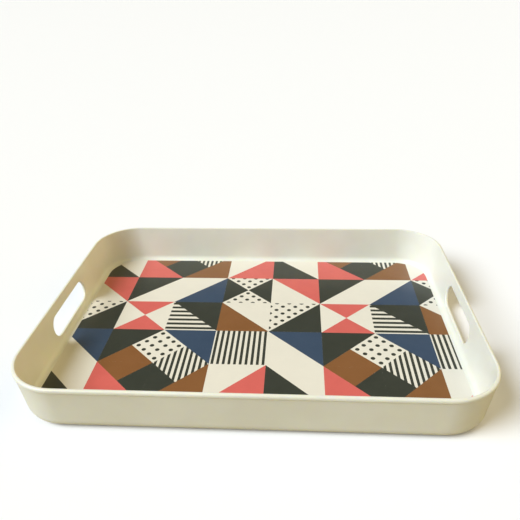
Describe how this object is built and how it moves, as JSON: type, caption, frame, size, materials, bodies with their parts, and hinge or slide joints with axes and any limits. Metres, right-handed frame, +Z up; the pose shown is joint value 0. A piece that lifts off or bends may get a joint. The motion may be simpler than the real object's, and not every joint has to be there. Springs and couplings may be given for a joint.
{
  "type": "serving tray",
  "caption": "Rounded rectangular serving tray with leaning walls, a hand hole in each short wall and a patchwork print set in the floor.",
  "frame": {"origin": "centre of the foot ring, on the plane that the tray stands on", "axes": "+X along the tray, between the two hand holes; +Y along the short side; +Z up, out of the tray"},
  "size_m": [0.46, 0.345, 0.052],
  "materials": {
    "melamine": "polished moulded melamine, ivory",
    "decor_paper": "fused under clear melamine glaze, cream",
    "ink_charcoal": "printed, under clear glaze",
    "ink_coral": "printed, under clear glaze",
    "ink_navy": "printed, under clear glaze",
    "ink_brown": "printed, under clear glaze"
  },
  "bodies": {
    "root": {"tray_body": "melamine", "decor_sheet": "decor_paper", "print_charcoal": "ink_charcoal", "print_coral": "ink_coral", "print_navy": "ink_navy", "print_brown": "ink_brown"}
  },
  "joints": []
}
